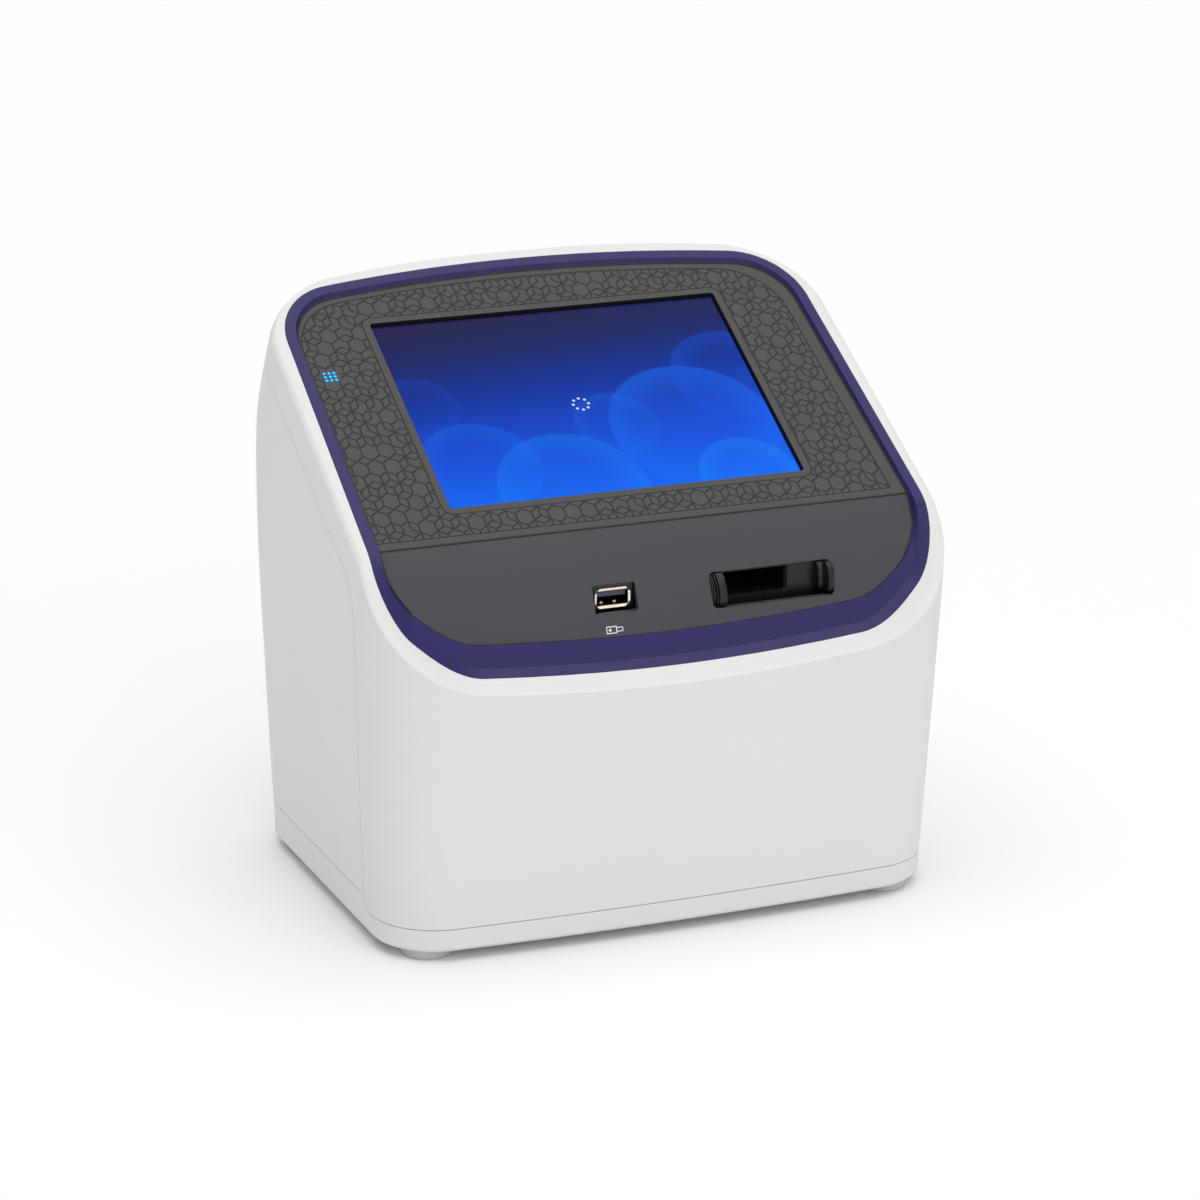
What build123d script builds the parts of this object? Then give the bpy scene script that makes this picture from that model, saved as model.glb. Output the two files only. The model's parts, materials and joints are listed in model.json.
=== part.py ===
import os
from math import asin, cos, degrees, pi, radians, sin, sqrt, tan

from build123d import *

os.makedirs("parts", exist_ok=True)

# ---------------------------------------------------------------------------
# Driving dimensions, millimetres. Origin on the surface the counter stands on,
# under the middle of the body. +X is to the right of a user, -Y faces the user.
# ---------------------------------------------------------------------------

# Outer skin
foot_height = 3.9
seam_height = 18.0
front_seam_drop = 5.0
base_half_width = 111.1
side_lean = 0.037
shoulder_height = 138.0
upper_taper = 0.033
side_bend = 35.0
front_at_seam = -83.8
front_lean = 0.063
front_bow_radius = 1476.0
front_corner_radius = 25.5
back_face = 88.8
back_bow_radius = 640.0
back_corner_radius = 25.0
crown_start = 172.0
crown_radius = 129.0
crown_corner_growth = 0.42
skin_wall = 2.6
seam_gap = 0.3

# Sloped top: a plane that turns down over a shoulder and runs on in an arc to the front
slope_angle = 29.25
slope_z = 182.86
slope_end_y = -56.0
shoulder_radius = 22.0
shoulder_angle = 56.0
ring_lift = 1.5
lip_front_y = -82.8
lip_front_z = 104.8
skin_top = 240.0
rim_flange = 5.4
rim_round = 3.2
rim_round_share = 0.8

# Coloured ring between the rim and the dark front
ring_half_width_front = 110.4
ring_half_width_back = 107.5
ring_taper_front_y = -62.0
ring_taper_back_y = 35.0
ring_front_bow_radius = 2800.0
ring_corner_cut = (24.3, 9.0)
ring_side_corner = 16.0
ring_front_corner = 70.0
ring_back_y = 72.8
ring_back_bow_radius = 626.0
ring_back_corner = 27.0
ring_band = 4.2
ring_wall_inset_side = 0.5
ring_wall_inset_front = 3.6
ring_thickness = 3.0
ring_ridge_lift = 0.25
ring_foot_step = 0.15
ring_foot_lean = 0.5
ledge_cut = 6.0
wall_blend_length = 20.0
rim_cut_height = 140.0
rim_cut_reach = 16.0
ledge_width = 3.6
seat_gap = 0.1
fit_gap = 0.2

# Seams between the housings and the tray
side_seam_y = -48.0
side_seam_top = 131.0
side_seam_knee_radius = 25.0
side_seam_toe_radius = 6.0
seam_band_height = 15.0
crown_limit = 110.0
body_reach = 125.0
tray_floor = 2.6
tray_edge = 1.3

# Display window in the frame
screen_offset_x = -1.3
screen_y = 4.4
window_width = 142.2
window_height = 101.6
window_corner = 1.5
frame_thickness = 2.6
crease_gap = 0.3

# Lower dark panel: an arc from the crease to its front edge
crease_y = -55.3
panel_start_angle = 50.0
panel_front_y = -75.2
panel_front_z = 114.6
panel_thickness = 2.4

# Fits and fasteners
running_gap = 0.05
thread_gap = 0.05
screw_gap = 0.2
screw_radius = 1.5
screw_head_radius = 3.0
screw_head_height = 1.6
board_screw_radius = 1.25
board_screw_head_radius = 2.3
board_screw_head = 1.6
board_screw_depth = 6.0
board_thickness = 1.6
chip_size = 14.0
chip_height = 1.5

# Posts that join tray and housings, and the feet
tray_post_x = 103.5
tray_post_y = 0.0
tray_post_reach_y = 54.0
column_half = 4.0
column_top = 40.0
boss_radius = 4.0
foot_x = 92.6
foot_y = 65.2
foot_radius = 9.7

# Display stack under the frame
glass_recess = 1.6
lcd_thickness = 5.0
lcd_border = 4.0
bracket_wall = 1.6
bracket_ear = 2.0
ear_half = 3.5
bracket_screw_s = 45.0
bracket_screw_bite = 1.8
display_board_width = 80.0
display_board_height = 50.0

# Status light: three rows of three dots
status_x = -94.7
status_s = 24.0
status_pitch = 1.9
status_radius = 0.75
lens_gap = 0.1
status_proud = 0.05
status_plate = 7.5
status_plate_thickness = 1.5

# Windows in the lower panel
window_cut_start = 55.0
window_cut_length = 30.0
usb_recess_x = (-28.0, -11.0)
usb_recess_z = (123.7, 133.7)
usb_recess_corner = 1.0
slide_recess_x = (18.4, 67.6)
slide_recess_z = (121.2, 133.6)
slide_recess_corner = 2.0
insert_depth = 5.0
panel_run_on = 6.0

# USB sockets
usb_x = -19.5
usb_z = 128.3
usb_insert_front = -66.5
usb_half_width = 6.6
usb_half_height = 2.9
usb_metal = 0.35
usb_lip = 0.5
usb_lip_half_width = 7.15
usb_lip_half_height = 3.75
usb_length = 14.0
usb_tongue_start = 1.0
usb_tongue_half_width = 5.6
usb_tongue_offset = 0.3
usb_tongue_thickness = 1.7
usb_board_half = 8.5

# Slide port
slot_width = 25.8
slot_z = (123.2, 131.6)
slide_insert_front = -65.5
tab_gap = 1.0
tab_profile = ((-73.0, 121.8), (-73.2, 124.0), (-72.0, 127.4), (-69.6, 132.2), (-67.8, 133.2))
ear_start = 11.6
guide_wall = 2.5
guide_back = -14.0
spring_leaf = 0.4
spring_margin = 3.0

# Optics: a base on the tray, a deck on posts, and a carriage between them
optic_x = 37.5
optic_y = -36.0
optics_plate = 4.0
base_bottom = 14.0
plate_half_x = 42.0
plate_half_y = 26.0
base_post_x = 30.0
base_post_y = 22.0
deck_post_x = 38.0
deck_post_y = 22.0
deck_post_radius = 3.5
beam_radius = 7.0
rod_offset_x = 16.0
rod_spread = 18.0
rod_radius = 3.0
screw_offset_x = 27.0
lead_screw_radius = 2.5
motor_half = 14.0
motor_height = 32.0
motor_corner = 3.0
motor_bearing = 3.0
carriage_bottom = 70.0
carriage_height = 14.0
carriage_reach = 14.0
carriage_back = 6.0
carriage_half = 24.0
objective_radius = 9.0
objective_below = 12.0
objective_collar = 4.0
objective_collar_radius = 10.5
objective_nose = 18.0
objective_nose_radius = 6.0
camera_post = 9.0
camera_post_radius = 2.0
camera_bottom = 24.0
camera_half = 12.0
sensor_half = 6.0
sensor_height = 3.0
lamp_height = 8.0
lamp_radius = 13.0
condenser_radius = 9.0
condenser_height = 5.0

# Main board
board_x = -52.0
board_y = 10.0
board_bottom = 14.0
board_half_x = 45.0
board_half_y = 60.0
board_post_x = 40.0
board_post_y = 54.0
sink_half = 20.0
sink_base = 3.0
sink_height = 14.0
sink_fins = 8
sink_fin = 1.2

# Connector bay at the back
io_half_width = 76.0
io_collar = 2.0
io_bottom = 24.0
io_top = 56.0
io_plate_back = 80.8
io_plate_thickness = 2.4
rear_usb_x = (-34.0, -14.0)
rear_usb_z = 40.0
jack_x = 18.0
jack_z = 40.0
jack_half = 5.5
jack_length = 14.0
jack_bore_depth = 11.0
jack_bore_radius = 3.2
jack_pin_radius = 1.05
switch_x = 52.0
switch_z = 40.0
switch_half_x = 6.5
switch_half_z = 9.6
switch_flange = 1.0
switch_depth = 14.0
switch_pocket_half_z = 8.3
rocker_half_x = 4.6
rocker_half_z = 6.9
rocker_gap = 0.4
rocker_pin_radius = 1.0
rocker_sink = 3.0
rocker_below = 3.5
rocker_foot = 4.0
rocker_low = 3.0
rocker_middle = 3.4
rocker_high = 4.9
vent_z = 110.0
vent_count = 12
vent_pitch = 9.0
vent_length = 24.0
vent_width = 3.0
back_bow_allowance = 2.0

slope_tan = tan(radians(slope_angle))
floor_top = foot_height + tray_floor


def slope_plane_z(y):
    return slope_z + slope_tan * y


def arc_between(y_start, z_start, angle_start, y_end, z_end):
    """Radius and end angle of the arc that leaves the start at a downward angle and meets the end."""
    chord_angle = degrees(asin((z_start - z_end) / sqrt((y_start - y_end) ** 2 + (z_start - z_end) ** 2)))
    angle_end = 2 * chord_angle - angle_start
    chord = sqrt((y_start - y_end) ** 2 + (z_start - z_end) ** 2)
    return chord / (2 * sin(radians((angle_end - angle_start) / 2))), angle_end


lip_start_z = slope_plane_z(slope_end_y) + ring_lift
shoulder_end_y = slope_end_y - shoulder_radius * (sin(radians(shoulder_angle)) - sin(radians(slope_angle)))
shoulder_end_z = lip_start_z - shoulder_radius * (cos(radians(slope_angle)) - cos(radians(shoulder_angle)))
lip_radius, lip_end_angle = arc_between(
    shoulder_end_y, shoulder_end_z, shoulder_angle, lip_front_y, lip_front_z
)
panel_start_z = slope_plane_z(crease_y)
panel_radius, panel_end_angle = arc_between(
    crease_y, panel_start_z, panel_start_angle, panel_front_y, panel_front_z
)
panel_centre_y = crease_y + panel_radius * sin(radians(panel_start_angle))
panel_centre_z = panel_start_z - panel_radius * cos(radians(panel_start_angle))
rocker_axis_y = io_plate_back - rocker_sink


def arc_z(y, y_start, z_start, angle_start, radius):
    """Height at y on the arc that leaves its start at a downward angle."""
    sine = min(sin(radians(angle_start)) + (y_start - y) / radius, 1.0)
    return z_start - radius * (cos(radians(angle_start)) - sqrt(1 - sine**2))


def lip_z(y):
    """Height of the ring's outer edge: above the slope plane, over the shoulder, down the front."""
    if y >= slope_end_y:
        return slope_plane_z(y) + ring_lift
    if y >= shoulder_end_y:
        return arc_z(y, slope_end_y, lip_start_z, slope_angle, shoulder_radius)
    return arc_z(y, shoulder_end_y, shoulder_end_z, shoulder_angle, lip_radius)


def dark_z(y):
    """Height of the dark front: the slope plane down to the crease, then the lower panel's arc."""
    if y >= crease_y:
        return slope_plane_z(y)
    return arc_z(y, crease_y, panel_start_z, panel_start_angle, panel_radius)


# ---------------------------------------------------------------------------
# Outer skin, as sections at rising heights
# ---------------------------------------------------------------------------


def skin_half_width(z):
    """Half width at height z: straight sides that lean out, then bend gently and lean in."""
    past = min(max(0.0, z - shoulder_height + side_bend), 2 * side_bend)
    straight = max(0.0, z - shoulder_height - side_bend)
    bend = (side_lean + upper_taper) * (past**2 / (4 * side_bend) + straight)
    return base_half_width + side_lean * (z - seam_height) - bend


def skin_front(z):
    return front_at_seam - front_lean * (z - seam_height)


def skin_back(z):
    above = max(0.0, z - crown_start)
    return back_face - (crown_radius - sqrt(crown_radius**2 - above**2))


def skin_section(z, inset):
    """Closed plan section of the skin at height z, moved inwards by inset."""
    half = skin_half_width(z) - inset
    front = skin_front(z) + inset
    back = skin_back(z) - inset
    front_sag = half**2 / (2 * front_bow_radius)
    back_sag = half**2 / (2 * back_bow_radius)
    back_radius = back_corner_radius + crown_corner_growth * max(0.0, z - crown_start)
    with BuildSketch(Plane.XY.offset(z)) as section:
        with BuildLine():
            ThreePointArc((-half, front + front_sag), (0, front), (half, front + front_sag))
            Line((half, front + front_sag), (half, back - back_sag))
            ThreePointArc((half, back - back_sag), (0, back), (-half, back - back_sag))
            Line((-half, back - back_sag), (-half, front + front_sag))
        make_face()
        fillet(section.vertices().group_by(Axis.Y)[0], front_corner_radius - inset)
        fillet(section.vertices().group_by(Axis.Y)[-1], back_radius - inset)
    return section.sketch


skin_levels = [36.0, 62.0, 86.0, 108.0, 128.0, 146.0, 162.0, 178.0, 194.0, 210.0, 225.0, skin_top]


def skin_solid(inset, bottom):
    """Solid inside the skin, moved inwards by inset, from bottom up."""
    with BuildPart() as solid:
        for z in [bottom] + skin_levels:
            add(skin_section(z, inset))
        loft()
    return solid.part


# ---------------------------------------------------------------------------
# Ring stations: points along the left half of the ring's outer edge in plan,
# from the middle of the back round to the middle of the front
# ---------------------------------------------------------------------------


def side_half_width(y):
    share = (y - ring_taper_front_y) / (ring_taper_back_y - ring_taper_front_y)
    return ring_half_width_front + (ring_half_width_back - ring_half_width_front) * share


def front_bow_y(x):
    return lip_front_y + ring_front_bow_radius - sqrt(ring_front_bow_radius**2 - x**2)


ring_back_corner_y = ring_back_y - side_half_width(ring_back_y) ** 2 / (2 * ring_back_bow_radius)
back_corner = (-side_half_width(ring_back_corner_y), ring_back_corner_y)
front_corner_x = ring_corner_cut[0] - side_half_width(lip_front_y)
front_corner = (front_corner_x, front_bow_y(front_corner_x))
side_corner_y = front_corner[1] + ring_corner_cut[1]
side_corner = (-side_half_width(side_corner_y), side_corner_y)

with BuildLine() as ring_edge:
    RadiusArc((0, ring_back_y), back_corner, -ring_back_bow_radius)
    Line(back_corner, side_corner)
    Line(side_corner, front_corner)
    RadiusArc(front_corner, (0, lip_front_y), -ring_front_bow_radius)
    fillet(ring_edge.vertices().sort_by_distance(back_corner)[0], ring_back_corner)
    fillet(ring_edge.vertices().sort_by_distance(side_corner)[0], ring_side_corner)
    fillet(ring_edge.vertices().sort_by_distance(front_corner)[0], ring_front_corner)



# Each run of stations: which edge of the outline, and the shares of its length where a station stands
run_shares = (
    (0, (0.5, 1.0)),
    (1, (0.25, 0.5, 0.75, 1.0)),
    (2, (0.5, 0.942)),
    (2, (0.96, 0.98, 1.0)),
    (3, (0.2, 0.4, 0.6, 0.8, 1.0)),
    (4, (0.5, 1.0)),
    (5, (0.33, 0.67, 1.0)),
    (6, (0.33, 0.67, 1.0)),
)


class Station:
    """One place on the ring's outer edge, with the way inwards and the depth of the wall there."""

    def __init__(self, edge, share):
        self.point = edge @ share
        self.tangent = edge % share
        self.inward = Vector(-self.tangent.Y, self.tangent.X)
        if abs(self.point.X) < fit_gap:
            self.inward = Vector(0, -1 if self.point.Y > 0 else 1)
        self.height = lip_z(self.point.Y)
        outline = skin_section(self.height, 0.0).wire()
        self.rim_width = outline.distance_to(Vertex(self.point.X, self.point.Y, self.height))
        reach = min(1.0, max(0.0, (crease_y - self.point.Y) / wall_blend_length))
        self.blend = reach * reach * (3 - 2 * reach)
        self.dark_inset = ring_band + ring_wall_inset_side
        self.dark_inset += (ring_wall_inset_front - ring_wall_inset_side) * self.blend

    def band_height(self, inset):
        """Height of the band above the outer edge: the band keeps the slope of the top."""
        return slope_tan * self.inward.Y * inset

    def plan_point(self, inset):
        return self.point + self.inward * inset

    def dark_height(self):
        """Height of the dark front above the outer edge, where it meets the ring."""
        return dark_z(self.plan_point(self.dark_inset).Y) - self.height

    def plane(self):
        origin = Vector(self.point.X, self.point.Y, self.height)
        return Plane(origin=origin, x_dir=self.inward, z_dir=self.inward.cross(Vector(0, 0, 1)))


ring_edges = ring_edge.wires()[0].order_edges()
station_runs = []
last_station = Station(ring_edges[0], 0.0)
for number, shares in run_shares:
    station_runs.append([last_station] + [Station(ring_edges[number], share) for share in shares])
    last_station = station_runs[-1][-1]


def closed_plan(extra_inset, dark):
    """Face inside the ring's outer edge, or inside the dark front's edge, moved inwards."""
    with BuildSketch() as plan:
        with BuildLine():
            for run in station_runs:
                points = [s.plan_point((s.dark_inset if dark else 0.0) + extra_inset) for s in run]
                Spline(points, tangents=[run[0].tangent, run[-1].tangent], tangent_scalars=[1, 1])
            mirror(about=Plane.YZ)
        make_face()
    return plan.sketch


def mirrored_loft(polygon_points):
    """Loft the polygon that the function gives along each run, and mirror it to a full ring."""
    with BuildPart() as ring:
        for run in station_runs:
            for station in run:
                with BuildSketch(station.plane()):
                    with BuildLine():
                        Polyline(*polygon_points(station), close=True)
                    make_face()
            loft()
        mirror(about=Plane.YZ)
    return ring.part


def ring_section(station):
    ridge = station.band_height(ring_band) + ring_ridge_lift
    dark = station.dark_height()
    foot = ring_band + ring_foot_step + ring_foot_lean * station.blend
    return (
        (fit_gap, station.band_height(fit_gap)),
        (ring_band, ridge),
        (station.dark_inset, dark),
        (station.dark_inset, dark - panel_thickness),
        (foot, station.band_height(foot) - ring_thickness + seat_gap),
        (fit_gap, station.band_height(fit_gap) - ring_thickness + seat_gap),
    )


def rim_cut_section(station):
    """Everything above the rim: its ledge for the ring, its flat and its rounded outer edge."""
    width = station.rim_width
    edge = station.band_height(-width)
    rounding = min(rim_round, rim_round_share * width)
    half_round = rounding * sin(pi / 6)
    full_round = rounding * cos(pi / 6)
    return (
        (0.0, -ring_thickness),
        (ledge_cut, station.band_height(ledge_cut) - ring_thickness),
        (ledge_cut, rim_cut_height),
        (-rim_cut_reach, rim_cut_height),
        (-rim_cut_reach, edge - rounding - rim_cut_reach),
        (-width - seam_gap, edge - rounding - seam_gap),
        (-width + rounding - full_round, edge - rounding + half_round),
        (-width + rounding - half_round, edge - rounding + full_round),
        (-width + rounding, station.band_height(rounding - width)),
        (0.0, 0.0),
    )


def side_prism(profile_edges, half_length, grow=0.0):
    """Solid of a side-view outline, drawn by the function in (Y, Z), across the whole width."""
    with BuildPart() as prism:
        with BuildSketch(Plane.YZ):
            with BuildLine():
                profile_edges()
            make_face()
            if grow > 0:
                offset(amount=grow)
        extrude(amount=half_length, both=True)
    return prism.part


def front_zone_outline():
    """Side view of what belongs to the front housing: in front of the side seam, above the bottom seam."""
    band_z = slope_plane_z(crown_limit) - seam_band_height
    knee_y = side_seam_y - front_lean * (side_seam_top - seam_height)
    knee = (knee_y, slope_plane_z(knee_y) - seam_band_height)
    toe = (side_seam_y + front_lean * front_seam_drop, seam_height - front_seam_drop)
    front = (-crown_limit, seam_height - front_seam_drop)
    above = skin_top + foot_height
    FilletPolyline((crown_limit, band_z), knee, toe, front, radius=[side_seam_knee_radius, side_seam_toe_radius])
    Polyline(front, (-crown_limit, above), (crown_limit, above), (crown_limit, band_z))


def roof_outline():
    """Side view of the inside of the housings, under the flange that carries the ring."""
    back = crown_limit
    samples = [slope_end_y, shoulder_end_y, (shoulder_end_y + lip_front_y) / 2, lip_front_y]
    below = [(y, lip_z(y) - rim_flange) for y in samples]
    start = (back, slope_plane_z(back) + ring_lift - rim_flange)
    Line(start, below[0])
    front_tangent = (-cos(radians(lip_end_angle)), -sin(radians(lip_end_angle)))
    Spline(below, tangents=[(-1, -slope_tan), front_tangent], tangent_scalars=[1, 1])
    end = (-crown_limit, below[-1][1] - slope_tan * (crown_limit + lip_front_y))
    Polyline(below[-1], end, (-crown_limit, 0), (back, 0), start)


# ---------------------------------------------------------------------------
# Ring
# ---------------------------------------------------------------------------

trim_ring = mirrored_loft(ring_section)
trim_ring.label = "trim_ring"
export_step(trim_ring, "parts/trim_ring.step")

def box_between(xs, ys, zs, mode=Mode.ADD):
    """Box from one corner to the other, given as pairs of limits."""
    with Locations(((xs[0] + xs[1]) / 2, (ys[0] + ys[1]) / 2, (zs[0] + zs[1]) / 2)):
        Box(xs[1] - xs[0], ys[1] - ys[0], zs[1] - zs[0], mode=mode)


def post_at(points, zs, radius, mode=Mode.ADD):
    """Upright round posts or holes at the points, between two heights."""
    with Locations(*[(x, y, (zs[0] + zs[1]) / 2) for x, y in points]):
        Cylinder(radius, zs[1] - zs[0], mode=mode)


def around(x, y, dx, dy):
    """Four points at the corners of a rectangle about a middle."""
    return [(x - dx, y - dy), (x + dx, y - dy), (x - dx, y + dy), (x + dx, y + dy)]


def front_window(xs, zs, radius):
    """Rounded window across the front panel, cut straight back."""
    with BuildSketch(Plane.XZ.offset(window_cut_start)) as window:
        with Locations(((xs[0] + xs[1]) / 2, (zs[0] + zs[1]) / 2)):
            RectangleRounded(xs[1] - xs[0], zs[1] - zs[0], radius)
    extrude(window.sketch, amount=window_cut_length, mode=Mode.SUBTRACT)


# ---------------------------------------------------------------------------
# Shells
# ---------------------------------------------------------------------------

tray_posts = around(0.0, tray_post_y, tray_post_x, tray_post_reach_y)

with BuildPart() as hollow:
    add(skin_solid(skin_wall, floor_top))
    add(side_prism(roof_outline, body_reach), mode=Mode.INTERSECT)

with BuildPart() as shell:
    add(skin_solid(0.0, foot_height))
    add(mirrored_loft(rim_cut_section), mode=Mode.SUBTRACT)
    with BuildSketch(Plane.XY.offset(lip_front_z - 2 * rim_cut_reach)):
        add(closed_plan(ledge_width, False))
    extrude(amount=skin_top, dir=(0, 0, 1), mode=Mode.SUBTRACT)
    add(hollow.part, mode=Mode.SUBTRACT)

with BuildPart() as inside:
    add(skin_solid(skin_wall / 2, foot_height))

front_zone = side_prism(front_zone_outline, body_reach)
rear_zone = side_prism(front_zone_outline, body_reach, seam_gap)

with BuildPart() as front_columns:
    for x, y in tray_posts[:2]:
        box_between(
            (min(x - column_half, x * 2), max(x + column_half, x * 2)),
            (y - column_half, y + column_half),
            (seam_height, column_top),
        )
    add(inside.part, mode=Mode.INTERSECT)

with BuildPart() as front_housing:
    add(shell.part)
    add(front_zone, mode=Mode.INTERSECT)
    add(front_columns.part)
    post_at(tray_posts[:2], (seam_height, column_top - skin_wall), screw_radius + thread_gap, Mode.SUBTRACT)
front_housing.part.label = "front_housing"
export_step(front_housing.part, "parts/front_housing.step")

with BuildPart() as rear_columns:
    for x, y in tray_posts[2:]:
        box_between(
            (min(x - column_half, x * 2), max(x + column_half, x * 2)),
            (y - column_half, y + column_half),
            (seam_height, column_top),
        )
    box_between(
        (-io_half_width - io_collar, io_half_width + io_collar),
        (io_plate_back, back_face),
        (io_bottom - io_collar, io_top + io_collar),
    )
    add(inside.part, mode=Mode.INTERSECT)

with BuildPart() as rear_housing:
    add(shell.part)
    add(rear_zone, mode=Mode.SUBTRACT)
    box_between((-body_reach, body_reach), (-body_reach, body_reach), (0, seam_height), Mode.SUBTRACT)
    add(rear_columns.part)
    post_at(tray_posts[2:], (seam_height, column_top - skin_wall), screw_radius + thread_gap, Mode.SUBTRACT)
    box_between((-io_half_width, io_half_width), (io_plate_back, body_reach), (io_bottom, io_top), Mode.SUBTRACT)
    with BuildSketch(Plane.XZ.offset(-back_face - skin_wall)):
        with Locations((0, vent_z)):
            with GridLocations(vent_pitch, 1, vent_count, 1):
                SlotOverall(vent_length, vent_width, rotation=90)
    extrude(amount=4 * skin_wall + back_bow_allowance, mode=Mode.SUBTRACT)
rear_housing.part.label = "rear_housing"
export_step(rear_housing.part, "parts/rear_housing.step")

with BuildPart() as tray_limit:
    extrude(skin_section(foot_height, tray_edge), amount=seam_height - foot_height, taper=-45)

with BuildPart() as base_tray:
    add(shell.part)
    add(tray_limit.part, mode=Mode.INTERSECT)
    add(rear_zone, mode=Mode.SUBTRACT)
    box_between((-body_reach, body_reach), (-body_reach, body_reach), (seam_height - seam_gap, skin_top), Mode.SUBTRACT)
    post_at(tray_posts[:2], (foot_height, seam_height - seat_gap), column_half, Mode.ADD)
    post_at(tray_posts[2:], (foot_height, seam_height - seat_gap), column_half, Mode.ADD)
    post_at(tray_posts, (foot_height, seam_height), screw_radius + screw_gap, Mode.SUBTRACT)
    post_at(tray_posts, (foot_height, foot_height + screw_head_height), screw_head_radius + screw_gap, Mode.SUBTRACT)
    post_at(around(optic_x, optic_y, base_post_x, base_post_y), (floor_top, base_bottom), boss_radius)
    post_at(around(board_x, board_y, board_post_x, board_post_y), (floor_top, board_bottom), boss_radius)
    post_at(
        around(board_x, board_y, board_post_x, board_post_y),
        (board_bottom - board_screw_depth, board_bottom),
        board_screw_radius + thread_gap,
        Mode.SUBTRACT,
    )
    post_at(
        around(optic_x, optic_y, base_post_x, base_post_y),
        (base_bottom - board_screw_depth, base_bottom),
        board_screw_radius + thread_gap,
        Mode.SUBTRACT,
    )
base_tray.part.label = "base_tray"
export_step(base_tray.part, "parts/base_tray.step")

with BuildPart() as housing_screws:
    post_at(tray_posts, (foot_height + seat_gap, foot_height + screw_head_height), screw_head_radius)
    post_at(tray_posts, (foot_height + screw_head_height, column_top - 2 * skin_wall), screw_radius)
housing_screws.part.label = "housing_screws"
export_step(housing_screws.part, "parts/housing_screws.step")

with BuildPart() as feet:
    post_at(around(0.0, 0.0, foot_x, foot_y), (0, foot_height), foot_radius)
feet.part.label = "feet"
export_step(feet.part, "parts/feet.step")

# ---------------------------------------------------------------------------
# Dark front: frame with the display, and the lower panel
# ---------------------------------------------------------------------------

dark_plan = closed_plan(fit_gap, True)


def frame_outline():
    front = crease_y + crease_gap
    drop = frame_thickness / cos(radians(slope_angle))
    Polyline(
        (front, slope_plane_z(front)),
        (crown_limit, slope_plane_z(crown_limit)),
        (crown_limit, slope_plane_z(crown_limit) - drop),
        (front, slope_plane_z(front) - drop),
        close=True,
    )


screen_plane = Plane(
    origin=(screen_offset_x, screen_y, slope_plane_z(screen_y)),
    x_dir=(1, 0, 0),
    z_dir=(0, -sin(radians(slope_angle)), cos(radians(slope_angle))),
)
status_points = [
    (status_x + status_pitch * column, status_s + status_pitch * row) for row in (-1, 0, 1) for column in (-1, 0, 1)
]
bracket_width = window_width + 2 * (lcd_border + seat_gap + bracket_wall)
bracket_height = window_height + 2 * (lcd_border + seat_gap + bracket_wall)
bracket_screw_x = bracket_width / 2 + board_screw_head_radius + seam_gap
bracket_screw_points = around(0.0, 0.0, bracket_screw_x, bracket_screw_s)

with BuildPart() as screen_frame:
    add(side_prism(frame_outline, body_reach))
    with BuildSketch():
        add(dark_plan)
    extrude(amount=skin_top, dir=(0, 0, 1), mode=Mode.INTERSECT)
    with BuildSketch(screen_plane):
        RectangleRounded(window_width, window_height, window_corner)
        with Locations(*status_points):
            Circle(status_radius + lens_gap)
    extrude(amount=2 * frame_thickness, both=True, mode=Mode.SUBTRACT)
    with BuildSketch(screen_plane.offset(-frame_thickness)):
        with Locations(*bracket_screw_points):
            Circle(board_screw_radius + thread_gap)
    extrude(amount=bracket_screw_bite + seat_gap, mode=Mode.SUBTRACT)
screen_frame.part.label = "screen_frame"
export_step(screen_frame.part, "parts/screen_frame.step")

with BuildPart(screen_plane) as touch_glass:
    with BuildSketch(screen_plane.offset(-frame_thickness)):
        RectangleRounded(window_width - 2 * fit_gap, window_height - 2 * fit_gap, window_corner - fit_gap)
    extrude(amount=frame_thickness - glass_recess)
touch_glass.part.label = "touch_glass"
export_step(touch_glass.part, "parts/touch_glass.step")

lcd_top = -frame_thickness - seat_gap
lcd_bottom = lcd_top - lcd_thickness
bracket_bottom = lcd_bottom - seat_gap - bracket_wall

with BuildPart() as lcd_module:
    with BuildSketch(screen_plane.offset(lcd_bottom)):
        Rectangle(window_width + 2 * lcd_border, window_height + 2 * lcd_border)
    extrude(amount=lcd_thickness)
lcd_module.part.label = "lcd_module"
export_step(lcd_module.part, "parts/lcd_module.step")

with BuildPart() as display_bracket:
    with BuildSketch(screen_plane.offset(bracket_bottom)):
        Rectangle(bracket_width, bracket_height)
    extrude(amount=lcd_top - bracket_bottom)
    with BuildSketch(screen_plane.offset(lcd_top - bracket_ear)):
        with Locations(*bracket_screw_points):
            Rectangle(2 * ear_half, 2 * ear_half)
    extrude(amount=bracket_ear)
    with BuildSketch(screen_plane.offset(bracket_bottom + bracket_wall)):
        Rectangle(bracket_width - 2 * bracket_wall, bracket_height - 2 * bracket_wall)
    extrude(amount=lcd_thickness + frame_thickness, mode=Mode.SUBTRACT)
    with BuildSketch(screen_plane.offset(lcd_top)):
        with Locations(*bracket_screw_points):
            Circle(board_screw_radius + screw_gap)
    extrude(amount=-bracket_ear, mode=Mode.SUBTRACT)
display_bracket.part.label = "display_bracket"
export_step(display_bracket.part, "parts/display_bracket.step")

with BuildPart() as display_screws:
    with BuildSketch(screen_plane.offset(lcd_top - bracket_ear)):
        with Locations(*bracket_screw_points):
            Circle(board_screw_radius)
    extrude(amount=bracket_ear + bracket_screw_bite)
    with BuildSketch(screen_plane.offset(lcd_top - bracket_ear)):
        with Locations(*bracket_screw_points):
            Circle(board_screw_head_radius)
    extrude(amount=-board_screw_head)
display_screws.part.label = "display_screws"
export_step(display_screws.part, "parts/display_screws.step")

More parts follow.
